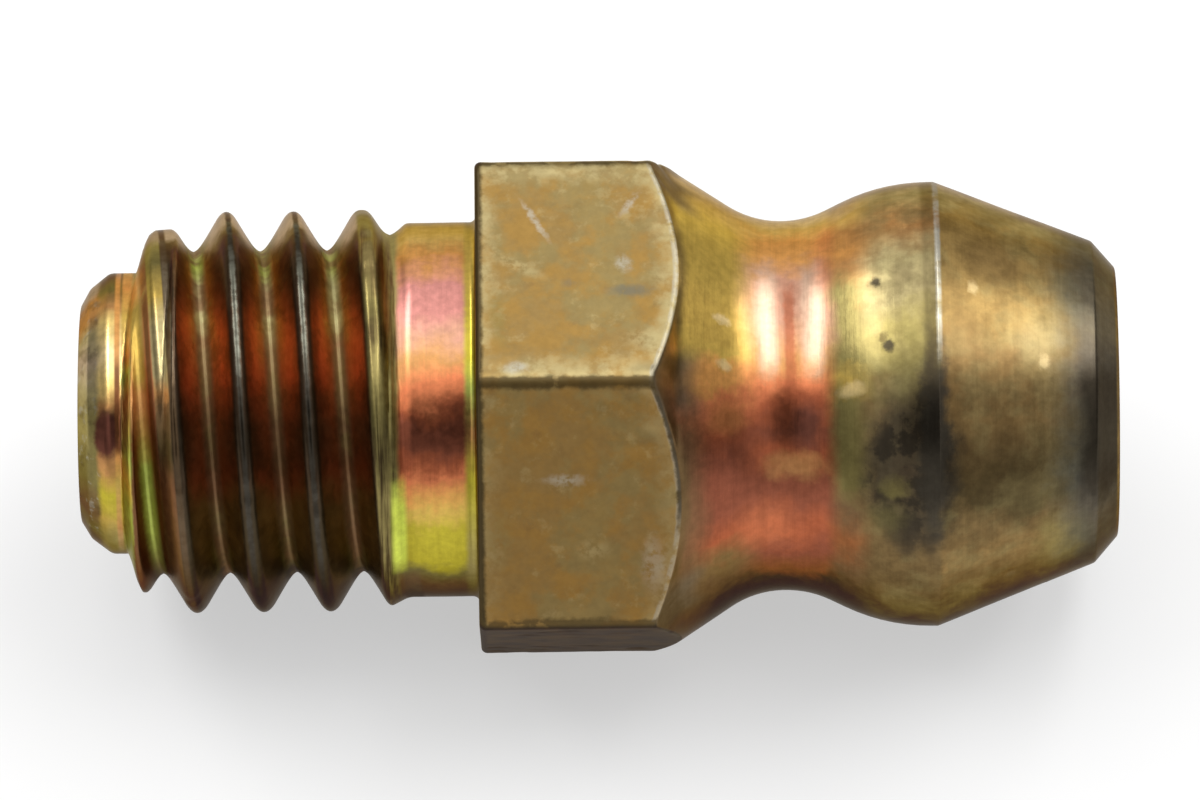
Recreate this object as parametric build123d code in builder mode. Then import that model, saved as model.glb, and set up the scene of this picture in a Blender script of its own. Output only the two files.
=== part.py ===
from build123d import *
from math import ceil, cos, radians, sin, sqrt, tan
import os

# Straight grease nipple with an M6 x 1 thread, turned from 7 mm hexagonal bar.
# The origin is where the thread's axis meets the seating face of the hexagon.
# +X runs along the axis towards the grease head, and two flats of the hexagon lie level,
# so that the nipple rests on the flat that faces -Z.

# thread, on the -X side of the seating face: depth and root flat as shares of the pitch
thread_diameter = 6.0
thread_pitch = 1.0
thread_angle = 60.0
thread_depth_share = 0.6134
root_flat_share = 0.125
thread_reach = 4.66
lead_in_angle = 52.0
thread_end_angle = 45.0

# The groove's last turn rises out of the blank. It starts straight below the axis.
runout_setback = 0.29
runout_turns = 1
runout_lead = 0.75
runout_rise = 0.66
groove_overcut = 0.06
pieces_per_turn = 2
steps_per_piece = 6

# plain shank below the seating face, and the pilot, whose rim is rolled in over the spring
shank_length = 5.95
shank_relief = 0.2
shank_root_fillet = 0.1
pilot_length = 0.75
pilot_relief = 0.287
tip_chamfer_length = 0.37
tip_chamfer_depth = 0.4

# hexagon, measured from the seating face to the middle of a flat's far end
hex_across_flats = 7.0
hex_corner_fillet = 0.3
hex_length = 3.0
hex_chamfer_angle = 52.0
hex_edge_break = 0.06

# cone, neck and grease head
cone_angle = 33.0
neck_diameter = 5.53
neck_fillet = 1.5
head_diameter = 6.65
head_back_angle = 26.0
head_back_fillet = 3.0
head_back_room = 0.95
head_band_width = 0.09
head_cone_angle = 21.3
head_height = 9.55
face_chamfer_length = 0.35
face_chamfer_angle = 49.0

# grease way
bore_diameter = 2.6
rim_thickness = 0.35
rim_hole_diameter = 1.8
mouth_diameter = 1.6
mouth_length = 0.3
mouth_countersink = 0.08
seat_half_angle = 30.0

# ball and spring
ball_diameter = 2.2
contact_clearance = 0.01
wire_diameter = 0.35
spring_diameter = 2.26
dead_turns = 1
live_turns = 8
spring_steps_per_turn = 16

os.makedirs("parts", exist_ok=True)


def reach(rise, angle):
    """Length along the axis over which a slope at this angle to it rises by this much."""
    return rise / tan(radians(angle))


# places along the axis and radii that follow from the sizes above
tip_x = -shank_length
pilot_end_x = tip_x + pilot_length
thread_end_x = tip_x + thread_reach
face_chamfer_x = head_height - face_chamfer_length
crest_radius = thread_diameter / 2
root_radius = crest_radius - thread_depth_share * thread_pitch
shank_radius = crest_radius - shank_relief
pilot_radius = root_radius - pilot_relief
flat_radius = hex_across_flats / 2
bar_radius = hex_across_flats / sqrt(3)
head_radius = head_diameter / 2

# The groove starts clear of the lead-in and makes whole turns up to its run-out.
lead_in_root_x = pilot_end_x + reach(root_radius - pilot_radius, lead_in_angle)
runout_x = thread_end_x - runout_setback
full_turns = ceil((runout_x - lead_in_root_x) / thread_pitch)
groove_start_x = runout_x - full_turns * thread_pitch

# The slopes on both sides of the neck meet below its floor, and the fillet fills that corner.
half_turn = radians(cone_angle + head_back_angle) / 2
lean = radians(cone_angle - head_back_angle) / 2
neck_corner_radius = neck_diameter / 2 - neck_fillet * (cos(lean) / cos(half_turn) - 1)
neck_corner_x = hex_length + reach(flat_radius - neck_corner_radius, cone_angle)
head_corner_x = neck_corner_x + reach(head_radius - neck_corner_radius, head_back_angle)

# The head's rear fillet takes what the neck's fillet leaves of the slope, and the band follows it.
back_slope_length = (head_radius - neck_corner_radius) / sin(radians(head_back_angle))
back_room = head_back_room * (back_slope_length - neck_fillet * tan(half_turn))
back_fillet = min(head_back_fillet, back_room / tan(radians(head_back_angle) / 2))
head_edge_x = head_corner_x + back_fillet * tan(radians(head_back_angle) / 2) + head_band_width
head_cone_end_radius = head_radius - (face_chamfer_x - head_edge_x) * tan(radians(head_cone_angle))
face_radius = head_cone_end_radius - face_chamfer_length * tan(radians(face_chamfer_angle))

# The ball stands in the seat's cone, and the spring between the rim and the ball's back.
bore_radius = bore_diameter / 2
mouth_radius = mouth_diameter / 2
mouth_x = head_height - mouth_length
ball_radius = ball_diameter / 2
wire_radius = wire_diameter / 2
coil_radius = spring_diameter / 2 - wire_radius
seat_apex_x = mouth_x + reach(mouth_radius, seat_half_angle)
ball_x = seat_apex_x - (ball_radius + contact_clearance) / sin(radians(seat_half_angle))
coil_start_x = tip_x + rim_thickness + contact_clearance + wire_radius
coil_end_x = ball_x - sqrt((ball_radius + contact_clearance + wire_radius) ** 2 - coil_radius**2)
dead_pitch = wire_diameter + contact_clearance
live_pitch = (coil_end_x - coil_start_x - 2 * dead_turns * dead_pitch) / live_turns

# corners of the turned outline from the tip to the face, each with its fillet
turned_outline = [
    (tip_x, 0, 0),
    (tip_x, pilot_radius - tip_chamfer_depth, 0),
    (tip_x + tip_chamfer_length, pilot_radius, 0),
    (pilot_end_x, pilot_radius, 0),
    (pilot_end_x + reach(crest_radius - pilot_radius, lead_in_angle), crest_radius, 0),
    (thread_end_x, crest_radius, 0),
    (thread_end_x + reach(shank_relief, thread_end_angle), shank_radius, 0),
    (0, shank_radius, shank_root_fillet),
    (0, bar_radius, 0),
    (hex_length - reach(bar_radius - flat_radius, hex_chamfer_angle), bar_radius, 0),
    (hex_length, flat_radius, 0),
    (neck_corner_x, neck_corner_radius, neck_fillet),
    (head_corner_x, head_radius, back_fillet),
    (head_edge_x, head_radius, 0),
    (face_chamfer_x, head_cone_end_radius, 0),
    (head_height, face_radius, 0),
    (head_height, 0, 0),
]


def axial_plane(x, radius, phase):
    """A plane through the axis, with its origin on the helix, its x along the axis and its y outwards.

    The phase, in degrees, starts straight below the axis and grows the way a right-hand helix climbs.
    """
    along = Vector(1, 0, 0)
    outwards = Vector(0, sin(radians(phase)), -cos(radians(phase)))
    return Plane(origin=along * x + outwards * radius, x_dir=along, z_dir=along.cross(outwards))


def groove_plane(turns):
    """Where the thread groove's section stands after this many turns from its start."""
    over = max(0, turns - full_turns)
    x = groove_start_x + thread_pitch * min(turns, full_turns) + runout_lead * over
    return axial_plane(x, root_radius + runout_rise * over, 360 * turns)


# The tool's path in the blank: a V groove, lofted half a turn at a time through its axial sections.
groove_depth = crest_radius + groove_overcut - root_radius
flank_width = groove_depth * tan(radians(thread_angle / 2))
with BuildPart() as thread_groove:
    for piece in range((full_turns + runout_turns) * pieces_per_turn):
        for step in range(steps_per_piece + 1):
            with BuildSketch(groove_plane((piece + step / steps_per_piece) / pieces_per_turn)):
                Trapezoid(
                    width=root_flat_share * thread_pitch + 2 * flank_width,
                    height=groove_depth,
                    left_side_angle=90 - thread_angle / 2,
                    rotation=180,
                    align=(Align.CENTER, Align.MAX),
                )
        loft()

# Body: a length of hexagonal bar, turned to the outline, drilled from the tip and threaded.
with BuildPart() as nipple_body:
    with BuildSketch(Plane.YZ.offset(tip_x)) as bar:
        RegularPolygon(radius=bar_radius, side_count=6)
        fillet(bar.vertices(), radius=hex_corner_fillet)
    extrude(amount=shank_length + head_height)
    with BuildSketch(Plane.XZ):
        with BuildLine():
            FilletPolyline(
                *[(x, radius) for x, radius, fillet_radius in turned_outline],
                radius=[fillet_radius for x, radius, fillet_radius in turned_outline],
                close=True,
            )
        make_face()
    revolve(axis=Axis.X, mode=Mode.INTERSECT)
    with BuildSketch(Plane.XZ):
        with BuildLine():
            Polyline(
                (tip_x, 0),
                (tip_x, rim_hole_diameter / 2),
                (tip_x + rim_thickness, rim_hole_diameter / 2),
                (tip_x + rim_thickness, bore_radius),
                (mouth_x - reach(bore_radius - mouth_radius, seat_half_angle), bore_radius),
                (mouth_x, mouth_radius),
                (head_height - mouth_countersink, mouth_radius),
                (head_height, mouth_radius + mouth_countersink),
                (head_height, 0),
                close=True,
            )
        make_face()
    revolve(axis=Axis.X, mode=Mode.SUBTRACT)
    seating_face = nipple_body.faces().filter_by(Plane.YZ).sort_by(SortBy.AREA)[-1]
    chamfer(seating_face.outer_wire().edges(), length=hex_edge_break)
    add(thread_groove.part, mode=Mode.SUBTRACT)
nipple_body.part.label = "nipple_body"
export_step(nipple_body.part, "parts/nipple_body.step")

# Ball: it closes the mouth from inside, a hair off its seat.
with BuildPart(Plane.YZ.offset(ball_x)) as check_ball:
    Sphere(radius=ball_radius)
check_ball.part.label = "check_ball"
export_step(check_ball.part, "parts/check_ball.step")


def coil_point(turns):
    """Where the wire's centre stands after this many turns: close coils at both ends, open ones between."""
    closed = dead_pitch * (min(turns, dead_turns) + max(0, turns - dead_turns - live_turns))
    x = coil_start_x + closed + live_pitch * min(max(0, turns - dead_turns), live_turns)
    return axial_plane(x, coil_radius, 360 * turns).origin


# Spring: round wire from the rolled rim to the ball.
with BuildPart() as ball_spring:
    with BuildLine() as wire_path:
        Spline(
            [
                coil_point(step / spring_steps_per_turn)
                for step in range((2 * dead_turns + live_turns) * spring_steps_per_turn + 1)
            ]
        )
    with BuildSketch(Plane(origin=wire_path.line @ 0, z_dir=wire_path.line % 0)):
        Circle(radius=wire_radius)
    sweep(is_frenet=True)
ball_spring.part.label = "ball_spring"
export_step(ball_spring.part, "parts/ball_spring.step")
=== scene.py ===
from math import atan, cos, pi, radians, sin, tan

import bmesh
import bpy
import numpy as np
from mathutils import Matrix, Vector


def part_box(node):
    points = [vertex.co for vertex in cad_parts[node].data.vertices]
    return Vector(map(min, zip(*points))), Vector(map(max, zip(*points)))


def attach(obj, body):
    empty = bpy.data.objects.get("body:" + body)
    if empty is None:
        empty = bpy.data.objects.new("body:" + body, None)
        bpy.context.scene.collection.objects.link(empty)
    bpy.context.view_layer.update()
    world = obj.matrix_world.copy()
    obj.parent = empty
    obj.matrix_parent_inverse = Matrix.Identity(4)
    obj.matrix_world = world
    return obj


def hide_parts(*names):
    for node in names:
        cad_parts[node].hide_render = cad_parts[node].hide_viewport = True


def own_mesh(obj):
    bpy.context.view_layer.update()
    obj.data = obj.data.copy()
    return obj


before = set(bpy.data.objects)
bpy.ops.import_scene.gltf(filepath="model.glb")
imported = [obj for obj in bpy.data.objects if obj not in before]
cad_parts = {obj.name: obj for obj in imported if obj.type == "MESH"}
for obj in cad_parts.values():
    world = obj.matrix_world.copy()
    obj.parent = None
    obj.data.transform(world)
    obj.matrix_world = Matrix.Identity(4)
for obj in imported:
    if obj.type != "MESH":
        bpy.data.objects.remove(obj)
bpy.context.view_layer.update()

mm = 0.001
body_low, body_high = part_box("nipple_body")

# ---- Studio
# A white sheet lies under the nipple, and a soft box hangs over it in a pale tent. The tent is
# dimmer at both ends of the nipple, and the lens looks in through a dark round opening.
floor_z = body_low.z
floor_size = 4.0
floor_white = 0.86
floor_glow = 0.5
lens_elevation = radians(54)
lens_distance = 250 * mm
lens_roll = radians(0.69)
lens_length = 501.0
sensor_width = 36
nearest_seen = 10 * mm
farthest_seen = 10
look_at = Vector((1.83, 0.093, 0.068)) * mm
lens_side = Vector((0, -cos(lens_elevation), sin(lens_elevation)))
lamp_distance = 240 * mm
overhead = 0.99
lamps = (  # name, degrees up from the front, degrees towards the head, size, power
    ("softbox", 89, 0, (150 * mm, 145 * mm), 0.05),
    ("left_strip", 106, -31, (58 * mm, 260 * mm), 0.19),
    ("right_strip", 106, 21, (58 * mm, 260 * mm), 0.19),
    ("head_lamp", 106, 43, (70 * mm, 220 * mm), 0.09),
)
roof_light = 1.0
front_light = 0.55
roof_start, roof_full = -0.1, 0.9
roof_end_light = 0.55
front_end_light = 0.16
end_start, end_full = 0.35, 0.9
opening_elevation = radians(46)
opening_edge = cos(radians(25))
opening_middle = cos(radians(14))
opening_light = 0.04


def shader_node(tree, kind, feeds=None, **settings):
    """Adds a node to the tree, sets it up and feeds its inputs with sockets or plain values."""
    node = tree.nodes.new("ShaderNode" + kind)
    for name, value in settings.items():
        setattr(node, name, value)
    for place, value in (feeds or {}).items():
        if isinstance(value, bpy.types.NodeSocket):
            tree.links.new(value, node.inputs[place])
        else:
            node.inputs[place].default_value = value
    return node


def own_tree(*values):
    """The tree of the first socket among these sockets and plain values."""
    return next(value.id_data for value in values if isinstance(value, bpy.types.NodeSocket))


def tuned(operation, first, second):
    """One step of arithmetic on two values, each a socket or a number."""
    feeds = {0: first, 1: second}
    return shader_node(own_tree(first, second), "Math", feeds, operation=operation).outputs[0]


def between(value, start, end):
    """How far a value has come from start to end, eased, from 0 to 1. Either may be the larger one."""
    low, high = min(start, end), max(start, end)
    feeds = {0: value, 1: low, 2: high, 3: float(start > end), 4: float(start < end)}
    return shader_node(value.id_data, "MapRange", feeds, interpolation_type="SMOOTHSTEP").outputs[0]


def mixed(share, start, end):
    """The value that lies this share of the way from start to end."""
    return shader_node(share.id_data, "Mix", {0: share, 2: start, 3: end}).outputs[0]


camera = bpy.data.objects.new("camera", bpy.data.cameras.new("camera"))
camera.data.lens = lens_length
camera.data.sensor_width = sensor_width
camera.data.clip_start = nearest_seen
camera.data.clip_end = farthest_seen
lens_right = Vector((cos(lens_roll), 0, 0)) - lens_side.cross(Vector((1, 0, 0))) * sin(lens_roll)
lens_up = lens_side.cross(lens_right)
placed = Matrix((lens_right, lens_up, lens_side)).transposed().to_4x4()
placed.translation = look_at + lens_side * lens_distance
camera.matrix_world = placed
bpy.context.collection.objects.link(camera)
bpy.context.scene.camera = camera
bpy.context.scene.view_settings.view_transform = "Standard"

for name, elevation, aside, size, power in lamps:
    lamp = bpy.data.objects.new(name, bpy.data.lights.new(name, "AREA"))
    lamp.data.shape = "RECTANGLE"
    lamp.data.size, lamp.data.size_y = size
    lamp.data.energy = power
    elevation, aside = radians(elevation), radians(aside)
    away = Vector((sin(aside), -cos(aside) * cos(elevation), cos(aside) * sin(elevation)))
    above = Vector((0, 0, 1)) if away.z > overhead else away
    along = above.cross(Vector((1, 0, 0)))
    lamp.matrix_world = Matrix((along.cross(away), along, away)).transposed().to_4x4()
    lamp.location = away * lamp_distance
    lamp.visible_camera = False
    bpy.context.collection.objects.link(lamp)

tent = bpy.data.worlds.new("tent")
tent.use_nodes = True
tree = tent.node_tree
tree.nodes.clear()
way = shader_node(tree, "TexCoord").outputs["Generated"]
parts = shader_node(tree, "SeparateXYZ", {0: way}).outputs
end_share = between(tuned("ABSOLUTE", parts["X"], 0.0), end_start, end_full)
opening_side = (0, -cos(opening_elevation), sin(opening_elevation))
towards_lens = shader_node(tree, "VectorMath", {0: way, 1: opening_side}, operation="DOT_PRODUCT")
opening_share = between(towards_lens.outputs["Value"], opening_edge, opening_middle)
roof_share = between(parts["Z"], roof_start, roof_full)
cloth = mixed(roof_share, front_light, roof_light)
end_cloth = mixed(roof_share, front_end_light, roof_end_light)
light = mixed(opening_share, mixed(end_share, cloth, end_cloth), opening_light)
background = shader_node(tree, "Background", {"Color": (1, 1, 1, 1), "Strength": light})
shader_node(tree, "OutputWorld", {"Surface": background.outputs[0]})
bpy.context.scene.world = tent

half = floor_size / 2
corners = [(x, y, floor_z) for x, y in ((-half, -half), (half, -half), (half, half), (-half, half))]
sheet_mesh = bpy.data.meshes.new("white_sheet")
sheet_mesh.from_pydata(corners, [], [(0, 1, 2, 3)])
white_sheet = bpy.data.objects.new("white_sheet", sheet_mesh)
bpy.context.collection.objects.link(white_sheet)
paper = bpy.data.materials.new("white_paper")
paper.use_nodes = True
tree = paper.node_tree
tree.nodes.clear()
path = shader_node(tree, "LightPath").outputs
seen = tuned("MAXIMUM", path["Is Camera Ray"], path["Is Glossy Ray"])
seen = tuned("MAXIMUM", seen, path["Is Transmission Ray"])
glow_share = tuned("MULTIPLY", seen, floor_glow)
diffuse = shader_node(tree, "BsdfDiffuse", {"Color": (floor_white, floor_white, floor_white, 1)})
glow = shader_node(tree, "Emission", {"Color": (1, 1, 1, 1), "Strength": 1.0})
sheet = shader_node(tree, "MixShader", {0: glow_share, 1: diffuse.outputs[0], 2: glow.outputs[0]})
shader_node(tree, "OutputMaterial", {"Surface": sheet.outputs[0]})
sheet_mesh.materials.append(paper)

# ---- Threaded shank
# The turned end of the steel bar, with its M6 x 1 thread cut in the lathe, a plain neck under the
# hexagon, and a pilot at the tip, whose rim is rolled in over the spring.
tip_x = body_low.x
pilot_end_x = tip_x + 0.62 * mm
thread_end_x = tip_x + 4.66 * mm
blank_slope_x = tip_x + 4.5 * mm
neck_start_x = tip_x + 4.89 * mm
crest_radius = 3.0 * mm
root_radius = 2.367 * mm
shank_radius = 2.8 * mm
pilot_radius = 2.1 * mm
rim_radius = 1.62 * mm
rim_hole_radius = 0.9 * mm
rim_thickness = 0.35 * mm
bore_radius = 1.3 * mm
lead_in_x = tip_x + np.array([0.8, 0.84, 0.89, 0.94, 1.0, 1.08, 1.42, 1.5, 1.56]) * mm
lead_in_radius = np.array([2.1, 2.2, 2.36, 2.55, 2.68, 2.735, 2.755, 2.9, 3.0]) * mm
lead_in_tilt = 0.15 * mm
rim_tilt = 0.025 * mm
tilt_phase = 0.194
flank_slope = tan(radians(60))
pitch = 1.0 * mm
root_flat = 0.125 * mm
groove_start_x = thread_end_x - 4.29 * mm
full_turns = 4
runout_lead = 0.75 * mm
runout_rise = 0.66 * mm
runout_ease = 1.3
root_softness = 0.08 * mm
crest_softness = 0.13 * mm
crest_dent = 0.03 * mm
crest_dent_start = 2.8 * mm
crest_dent_share = 0.35
neck_softness = 0.05 * mm
turned_wave = 0.004 * mm
turned_end = 0.1 * mm
shank_columns = 348
same_spot = 0.0002 * mm


def rounded(corners, arc_step=radians(8), run_step=0.06 * mm):
    """Points of an outline. Each corner (x, r, radius) gives way to an arc that touches both its runs,
    and the straight runs between the arcs are cut into equal steps."""
    spots = np.array([complex(x, r) for x, r, radius in corners])
    points = [spots[:1]]
    for before, spot, after, radius in zip(spots, spots[1:], spots[2:], [c[2] for c in corners[1:]]):
        arriving = (spot - before) / abs(spot - before)
        leaving = (after - spot) / abs(after - spot)
        turn = np.angle(leaving / arriving)
        start = spot - arriving * radius * tan(abs(turn) / 2)
        centre = start + arriving * 1j * np.sign(turn) * radius
        share = np.linspace(0, 1, int(abs(turn) / arc_step) + 2 if radius else 1)
        arc = centre + (start - centre) * np.exp(1j * turn * share)
        points += [run(points[-1][-1], start, run_step), arc]
    points.append(run(points[-1][-1], spots[-1], run_step))
    return np.concatenate([*points, spots[-1:]])


def run(start, end, step):
    """Equal steps from start towards end, without both ends."""
    count = max(1, round(abs(end - start) / step))
    return start + (end - start) * np.arange(1, count) / count


def groove_x(turns):
    """Where the groove's middle stands after this many turns: the pitch a turn, then the run-out's
    lead."""
    over = np.maximum(turns - full_turns, 0)
    return groove_start_x + pitch * np.minimum(turns, full_turns) + runout_lead * over


def groove_radius(x, phase):
    """The groove's own surface: the nearest root's radius, plus the flank's slope times the way from the
    root's flat. In the run-out the flank towards the hexagon eases off."""
    radius = np.inf
    for whole_turns in range(full_turns + 1):
        turns = whole_turns + phase
        over = np.maximum(turns - full_turns, 0)
        aside = np.abs(x - groove_x(turns)) - root_flat / 2
        aside = (aside + np.hypot(aside, root_softness)) / 2
        slope = flank_slope * np.where(x > groove_x(turns), 1 - runout_ease * np.minimum(over, 0.5), 1)
        radius = np.minimum(radius, root_radius + runout_rise * over + slope * aside)
    return radius


def lower(first, second, softness):
    """The lower of two surfaces. Where they are nearer than the softness, a parabola rounds the edge."""
    nearness = np.clip(1 - np.abs(first - second) / softness, 0, 1)
    return np.minimum(first, second) - softness / 4 * nearness**2


def uneven(x, phase, waves_along, waves_around, seed, waves=12):
    """Unevenness of about -1 to 1: waves that run every way over the unrolled face, summed and shared
    out over half their number."""
    draw = np.random.default_rng(seed)
    total = 0
    for _ in range(waves):
        along = draw.uniform(-waves_along, waves_along)
        around = draw.integers(-waves_around, waves_around + 1)
        total = total + np.cos(2 * pi * (along * x / mm + around * phase + draw.uniform(0, 1)))
    return total / (waves / 2)


def skin(name, x, radius, phase, marks):
    """A closed skin: row i and column j meet at x, and at the radius from the axis in the direction of
    the phase, which is a share of a turn from straight below, right-hand about +X. Points on one spot
    are merged. The marks are values per point of the grid, kept at the faces' corners for the finish."""
    rows, columns = x.shape
    spots = np.stack([x, radius * np.sin(2 * pi * phase), -radius * np.cos(2 * pi * phase)], axis=-1)
    index = np.arange(rows * columns).reshape(rows, columns)
    down = np.roll(index, -1, axis=0)
    corners = np.stack([index[:, :-1], index[:, 1:], down[:, 1:], down[:, :-1]], axis=-1).reshape(-1, 4)
    mesh = bpy.data.meshes.new(name)
    mesh.from_pydata(spots.reshape(-1, 3).tolist(), [], corners.tolist())
    for mark, values in marks.items():
        values = np.broadcast_to(values, x.shape).ravel()[corners.ravel()]
        mesh.attributes.new(mark, "FLOAT", "CORNER").data.foreach_set("value", values)
    work = bmesh.new()
    work.from_mesh(mesh)
    bmesh.ops.remove_doubles(work, verts=work.verts, dist=same_spot)
    work.to_mesh(mesh)
    work.free()
    mesh.shade_smooth()
    piece = bpy.data.objects.new(name, mesh)
    bpy.context.collection.objects.link(piece)
    return piece


phase = np.linspace(0, 1, shank_columns + 1)[None, :]
tilt = np.cos(2 * pi * (phase - tilt_phase))
tip_outline = rounded(
    [
        (tip_x + rim_thickness, rim_hole_radius, 0),
        (tip_x, rim_hole_radius, 0.06 * mm),
        (tip_x, rim_radius, 0.1 * mm),
        (tip_x + 0.15 * mm, 1.87 * mm, 0.2 * mm),
        (tip_x + 0.46 * mm, pilot_radius, 0.2 * mm),
        (pilot_end_x, pilot_radius, 0),
    ],
    run_step=0.03 * mm,
)
blank_end_radius = np.interp(thread_end_x, [blank_slope_x, neck_start_x], [crest_radius, shank_radius])
neck_outline = rounded(
    [
        (thread_end_x, blank_end_radius, 0),
        (neck_start_x, shank_radius, 0.3 * mm),
        (0, shank_radius, 0.1 * mm),
        (0, 3.0 * mm, 0),
    ],
    run_step=0.025 * mm,
)
flank_rows = [0.031, 0.0625, 0.09, 0.12, 0.15, 0.18, 0.215, 0.255, 0.295, 0.33, 0.36]
flank_rows += [0.385, 0.41, 0.44, 0.47]
section = np.array([-share for share in flank_rows[::-1]] + [0] + flank_rows + [0.5])
wrap = (np.arange(-1, full_turns + 1)[:, None] + section[None, :]).reshape(-1, 1)
thread_x = np.clip(groove_x(wrap + phase), pilot_end_x, thread_end_x)
lead_in_r = np.interp(thread_x - lead_in_tilt * tilt, lead_in_x, lead_in_radius)
slope_r = np.interp(thread_x, [blank_slope_x, neck_start_x], [crest_radius, shank_radius])
thread_r = lower(np.minimum(lead_in_r, slope_r), groove_radius(thread_x, phase), crest_softness)
dents = uneven(thread_x, phase, waves_along=0.6, waves_around=30, seed=3)
dents = np.clip(dents - crest_dent_share, 0, 1) * crest_dent
thread_r -= dents * np.clip((thread_r - crest_dent_start) / (crest_radius - crest_dent_start), 0, 1)
neck_x = np.tile(neck_outline.real[1:, None], phase.shape)
neck_r = lower(neck_outline.imag[1:, None], groove_radius(neck_x, phase), neck_softness)
tip_rows = np.tile(tip_outline[:, None], phase.shape)
way_outline = rounded([(0, bore_radius, 0), (tip_x + rim_thickness, bore_radius, 0)], run_step=0.4 * mm)
way_rows = np.tile(way_outline[:, None], phase.shape)
tip_shift = rim_tilt * (1 + tilt) * np.clip((pilot_end_x - tip_rows.real) / (pilot_end_x - tip_x), 0, 1)
shank_x = np.concatenate([tip_rows.real + tip_shift, thread_x, neck_x, way_rows.real])
shank_r = np.concatenate([tip_rows.imag, thread_r, neck_r, way_rows.imag])
turned_face = (shank_r > rim_radius) & (shank_x < -turned_end)
waves = uneven(shank_x, phase, waves_along=0.8, waves_around=5, seed=1)
shank_r += turned_wave * waves * turned_face
turns = np.arange(full_turns + 1).reshape(-1, 1, 1) + phase
from_root = np.abs(shank_x - groove_x(turns)).min(axis=0) / mm
wound = (shank_x - groove_start_x) / pitch - phase
marks = {"from_root": from_root, "wound": wound}
threaded_shank = skin("threaded_shank", shank_x, shank_r, phase, marks)

# The finish is zinc under a thin yellow passivation film. Where the film is smooth it shows the
# colours of an oil film, which change around the turned faces.
cream = (0.9, 0.7, 0.36, 1)
gold = (0.8, 0.58, 0.2, 1)
straw = (0.66, 0.44, 0.14, 1)
honey = (0.62, 0.42, 0.09, 1)
brass = (0.48, 0.33, 0.075, 1)
amber = (0.76, 0.36, 0.1, 1)
copper = (0.52, 0.26, 0.09, 1)
rose = (0.68, 0.28, 0.24, 1)
blush = (0.5, 0.34, 0.24, 1)
salmon = (0.57, 0.3, 0.2, 1)
coral = (0.72, 0.22, 0.09, 1)
brick = (0.4, 0.105, 0.044, 1)
wine = (0.27, 0.08, 0.042, 1)
maroon = (0.15, 0.05, 0.032, 1)
glowing = (0.4, 0.18, 0.062, 1)
fire = (0.4, 0.14, 0.062, 1)
ember = (0.36, 0.125, 0.042, 1)
dark_ember = (0.3, 0.125, 0.06, 1)
rust = (0.26, 0.095, 0.032, 1)
chestnut = (0.175, 0.08, 0.034, 1)
chocolate = (0.225, 0.118, 0.06, 1)
hazel = (0.225, 0.155, 0.07, 1)
lemon = (0.47, 0.4, 0.035, 1)
lime = (0.42, 0.48, 0.1, 1)
bright_lime = (0.72, 0.82, 0.12, 1)
sand = (0.45, 0.37, 0.18, 1)
ash = (0.5, 0.38, 0.25, 1)
pale_ash = (0.62, 0.48, 0.32, 1)
olive = (0.33, 0.27, 0.095, 1)
grey_olive = (0.4, 0.36, 0.17, 1)
moss = (0.2, 0.165, 0.055, 1)
bark = (0.17, 0.1, 0.045, 1)
umber = (0.075, 0.052, 0.02, 1)
pitch_brown = (0.036, 0.028, 0.018, 1)
steel = (0.135, 0.135, 0.105, 1)
dark_steel = (0.06, 0.052, 0.04, 1)
pale_grey = (0.45, 0.44, 0.38, 1)
worn_shade = (0.9, 0.89, 0.88, 1)
clean_shade = (1.09, 1.09, 1.09, 1)
streak_dark = (0.93, 0.92, 0.91, 1)
streak_light = (1.06, 1.06, 1.06, 1)
edge_tint = (0.4, 0.32, 0.23, 1)
coat_weight = 0.12
coat_ior = 1.5


def meet(share, *others):
    """The share to which all these shares hold: their product."""
    for other in others:
        share = tuned("MULTIPLY", share, other)
    return share


def spread(value, start, end, low=0.3, high=0.7):
    """The value brought from low and high to start and end, evenly and no further."""
    feeds = {0: value, 1: low, 2: high, 3: start, 4: end}
    return shader_node(value.id_data, "MapRange", feeds).outputs[0]


def painted(share, under, over, blend="MIX"):
    """The colour under, with the colour over laid on it by the share."""
    feeds = {0: share, 6: under, 7: over}
    tree = own_tree(share, under, over)
    return shader_node(tree, "Mix", feeds, data_type="RGBA", blend_type=blend).outputs[2]


def tinted(colour, shade):
    """The colour times a shade, which darkens it below 1 and lightens it above."""
    return painted(1.0, colour, shade, blend="MULTIPLY")


def grain(spot, scale, detail=4.0, roughness=0.6, stretch=(1, 1, 1)):
    """Cloudy noise from 0 to 1 over the part, with this many patches to a millimetre."""
    tree = spot.id_data
    drawn = shader_node(tree, "Mapping", {"Vector": spot, "Scale": [scale * part for part in stretch]})
    feeds = {"Vector": drawn.outputs[0], "Scale": 1.0, "Detail": detail, "Roughness": roughness}
    return shader_node(tree, "TexNoise", feeds).outputs[0]


def strayed(spot, scale, reach):
    """The spot, moved up to half the reach each way by cloudy noise, for stains with ragged edges."""
    tree = spot.id_data
    feeds = {"Vector": spot, "Scale": scale, "Detail": 4.0, "Roughness": 0.6}
    cloud = shader_node(tree, "TexNoise", feeds).outputs["Color"]
    feeds = {0: cloud, 1: (0.5, 0.5, 0.5)}
    swing = shader_node(tree, "VectorMath", feeds, operation="SUBTRACT").outputs[0]
    feeds = {0: swing, 1: (reach, reach, reach), 2: spot}
    return shader_node(tree, "VectorMath", feeds, operation="MULTIPLY_ADD").outputs[0]


def mark(spot, middle, reach, edge=0.5, lean=0.0):
    """How much of a soft oval mark lies here. It has a middle, half sizes and a lean about the
    vertical."""
    tree = spot.id_data
    feeds = {"Vector": spot, "Location": middle, "Rotation": (0, 0, lean), "Scale": reach}
    own = shader_node(tree, "Mapping", feeds, vector_type="TEXTURE").outputs[0]
    far = shader_node(tree, "VectorMath", {0: own}, operation="LENGTH").outputs["Value"]
    return between(far, 1 + edge, 1 - edge)


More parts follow.
